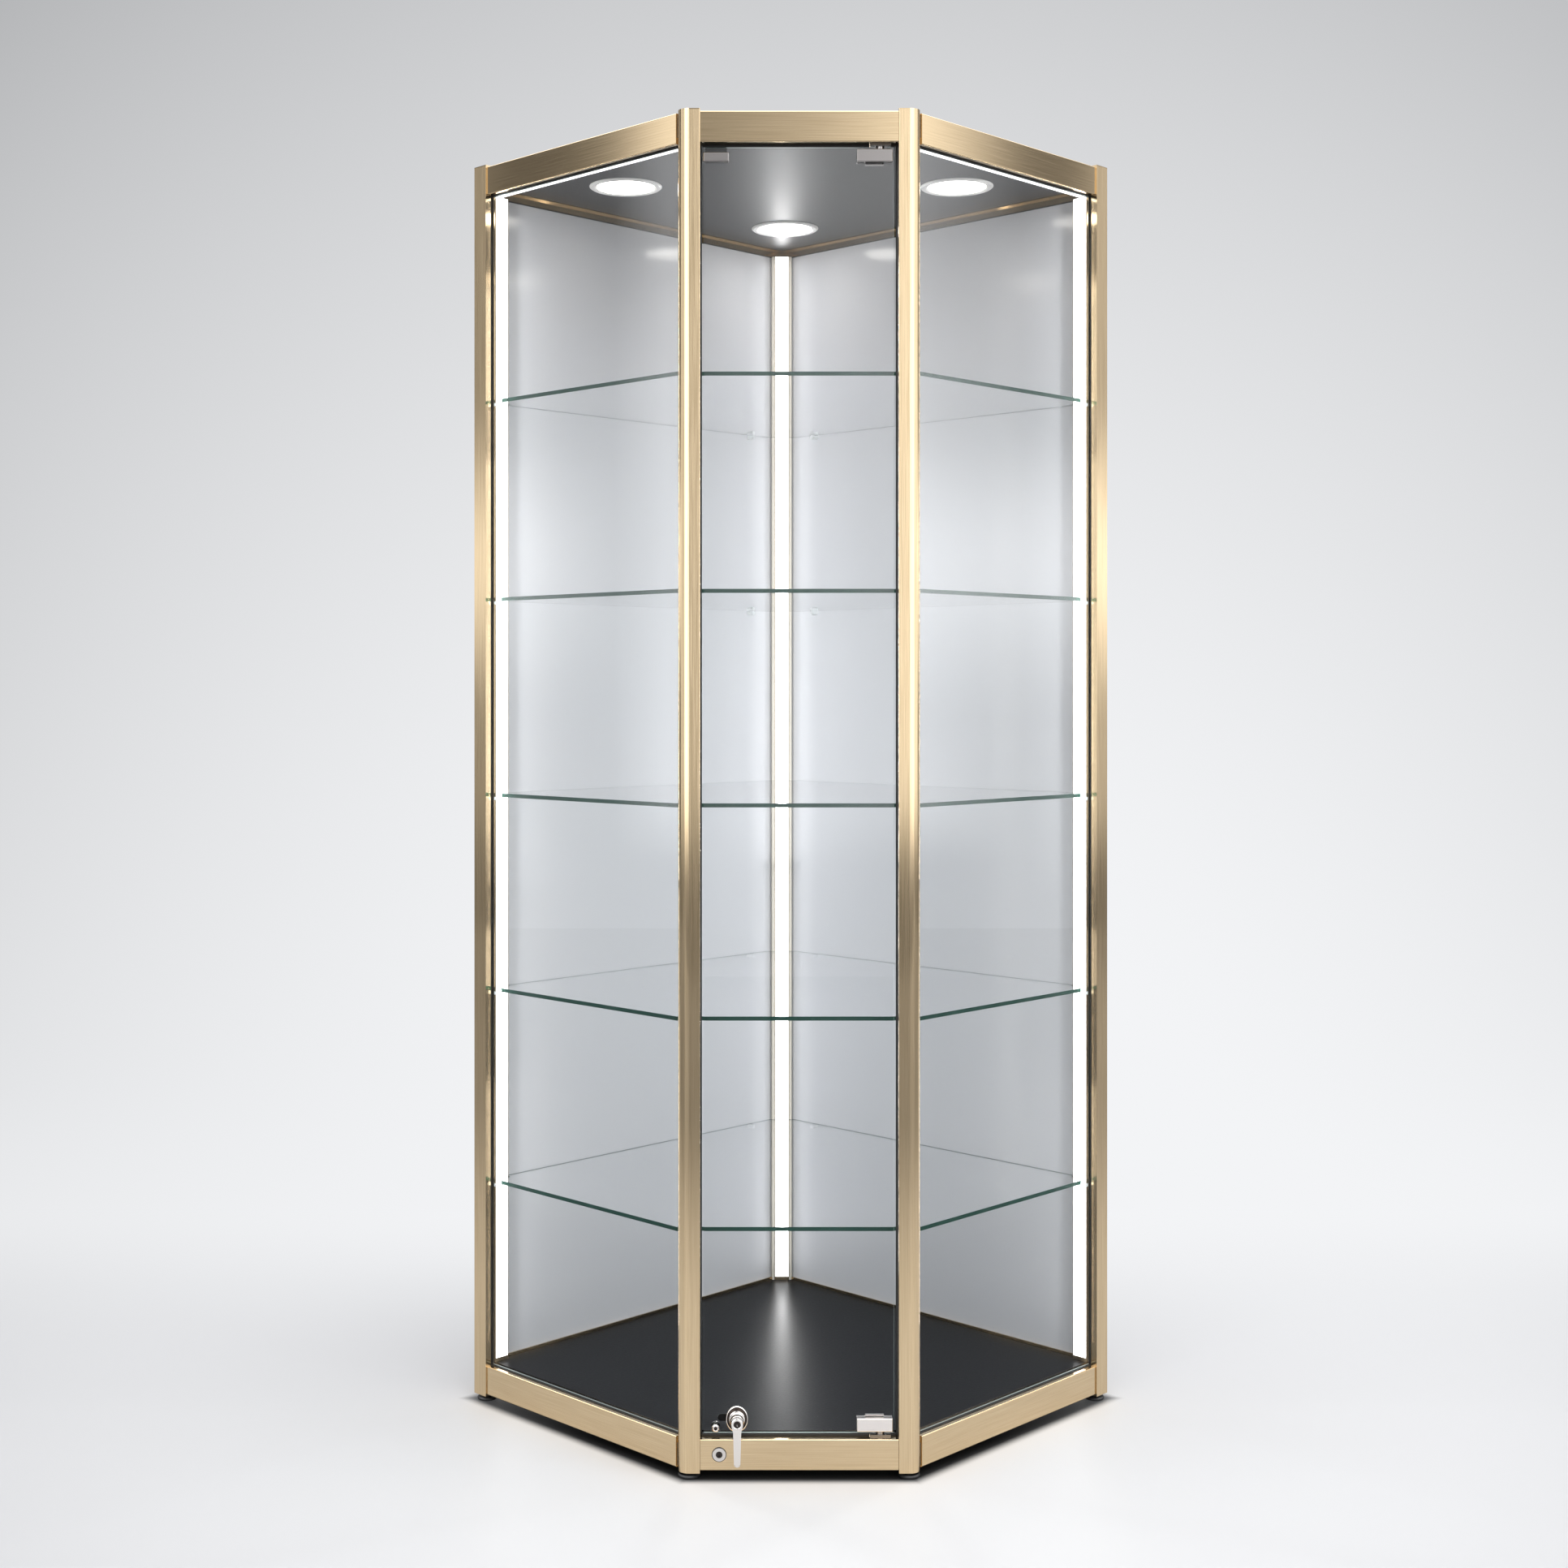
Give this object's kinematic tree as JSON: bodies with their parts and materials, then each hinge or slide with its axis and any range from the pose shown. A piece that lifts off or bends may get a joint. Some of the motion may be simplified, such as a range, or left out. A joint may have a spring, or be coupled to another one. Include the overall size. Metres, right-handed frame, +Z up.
{
  "type": "corner display cabinet",
  "caption": "Five-sided glass corner display cabinet with a gold-framed hinged door, glass shelves, light strips, ceiling lamps and levelling feet.",
  "frame": {"origin": "on the floor under the back corner post, at the centre of its foot's underside", "axes": "+Z up; the door faces -Y; +X to the right of someone facing the door; the two back panels run from the origin at 45 degrees to the room's walls' corner"},
  "size_m": [1.0184, 0.8591, 1.98],
  "materials": {
    "gold_aluminium": "brushed and anodised champagne gold",
    "satin_chrome": "satin to bright chrome",
    "bright_chrome": "polished chrome",
    "plain_aluminium": "plain satin",
    "clear_glass": "clear float glass, polished edges",
    "back_glass": "back-painted light blue-grey, glossy",
    "deck_laminate": "charcoal laminate, satin",
    "ceiling_laminate": "mid-grey laminate, satin",
    "white_diffuser": "opal, lit",
    "lamp_lens": "opal, lit",
    "circuit_white": "satin",
    "black_gasket": "matte",
    "black_plastic": "matte",
    "zinc_die_cast": "plain",
    "dark_steel": "plain"
  },
  "bodies": {
    "cabinet": {"front_left_post": "gold_aluminium", "front_right_post": "gold_aluminium", "side_left_post": "gold_aluminium", "side_right_post": "gold_aluminium", "back_corner_post": "gold_aluminium", "front_bottom_rail": "gold_aluminium", "left_bottom_rail": "gold_aluminium", "right_bottom_rail": "gold_aluminium", "back_left_bottom_rail": "gold_aluminium", "back_right_bottom_rail": "gold_aluminium", "front_top_rail": "gold_aluminium", "left_top_rail": "gold_aluminium", "right_top_rail": "gold_aluminium", "back_left_top_rail": "gold_aluminium", "back_right_top_rail": "gold_aluminium", "back_panel_beads": "gold_aluminium", "post_caps": "gold_aluminium", "base_deck": "deck_laminate", "ceiling_panel": "ceiling_laminate", "roof_panel": "plain_aluminium", "led_channels": "plain_aluminium", "downlight_housings": "plain_aluminium", "back_left_panel": "back_glass", "back_right_panel": "back_glass", "left_side_glass": "clear_glass", "right_side_glass": "clear_glass", "shelf_1": "clear_glass", "shelf_2": "clear_glass", "shelf_3": "clear_glass", "shelf_4": "clear_glass", "shelf_5": "clear_glass", "shelf_clips": "satin_chrome", "hinge_pivots": "satin_chrome", "downlight_bezels": "satin_chrome", "rail_lock_barrel": "bright_chrome", "led_diffusers": "white_diffuser", "downlight_lenses": "lamp_lens", "led_tapes": "circuit_white", "led_driver": "circuit_white", "glazing_gaskets": "black_gasket", "cable_grommet": "black_gasket", "catch_magnet": "black_plastic", "corner_connectors": "zinc_die_cast"},
    "door": {"door_glass": "clear_glass", "upper_hinge_clamp": "satin_chrome", "lower_hinge_clamp": "satin_chrome", "hinge_screws": "dark_steel", "strike_clip": "satin_chrome", "lock_rosette": "bright_chrome", "lock_barrel": "bright_chrome", "strike_stud": "satin_chrome"},
    "handle": {"handle_lever": "bright_chrome", "lock_cam": "dark_steel"},
    "key": {"key_plug": "bright_chrome"},
    "rail_lock": {"rail_lock_tongue": "dark_steel"},
    "front_left_foot": {"foot_front_left": "black_plastic"},
    "front_right_foot": {"foot_front_right": "black_plastic"},
    "side_left_foot": {"foot_side_left": "black_plastic"},
    "side_right_foot": {"foot_side_right": "black_plastic"},
    "back_foot": {"foot_back": "black_plastic"}
  },
  "joints": [
    {"name": "door_swing", "type": "hinge", "parent": "cabinet", "child": "door", "pos_m": [0.118, -0.81, 0.061], "axis": [0, 0, 1], "range_deg": [0, 110]},
    {"name": "handle_turn", "type": "hinge", "parent": "door", "child": "handle", "pos_m": [-0.09, -0.8125, 0.081], "axis": [0, -1, 0], "range_deg": [0, 90]},
    {"name": "key_turn", "type": "hinge", "parent": "handle", "child": "key", "pos_m": [-0.09, -0.8375, 0.081], "axis": [0, -1, 0], "range_deg": [0, 90]},
    {"name": "rail_lock_turn", "type": "hinge", "parent": "cabinet", "child": "rail_lock", "pos_m": [-0.116, -0.829, 0.0355], "axis": [0, -1, 0], "range_deg": [0, 90]},
    {"name": "front_left_foot_screw", "type": "hinge", "parent": "cabinet", "child": "front_left_foot", "pos_m": [-0.1595, -0.8165, 0], "axis": [0, 0, 1], "continuous": true},
    {"name": "front_right_foot_screw", "type": "hinge", "parent": "cabinet", "child": "front_right_foot", "pos_m": [0.1595, -0.8165, 0], "axis": [0, 0, 1], "continuous": true},
    {"name": "side_left_foot_screw", "type": "hinge", "parent": "cabinet", "child": "side_left_foot", "pos_m": [-0.488, -0.488, 0], "axis": [0, 0, 1], "continuous": true},
    {"name": "side_right_foot_screw", "type": "hinge", "parent": "cabinet", "child": "side_right_foot", "pos_m": [0.488, -0.488, 0], "axis": [0, 0, 1], "continuous": true},
    {"name": "back_foot_screw", "type": "hinge", "parent": "cabinet", "child": "back_foot", "pos_m": [0, 0, 0], "axis": [0, 0, 1], "continuous": true}
  ]
}
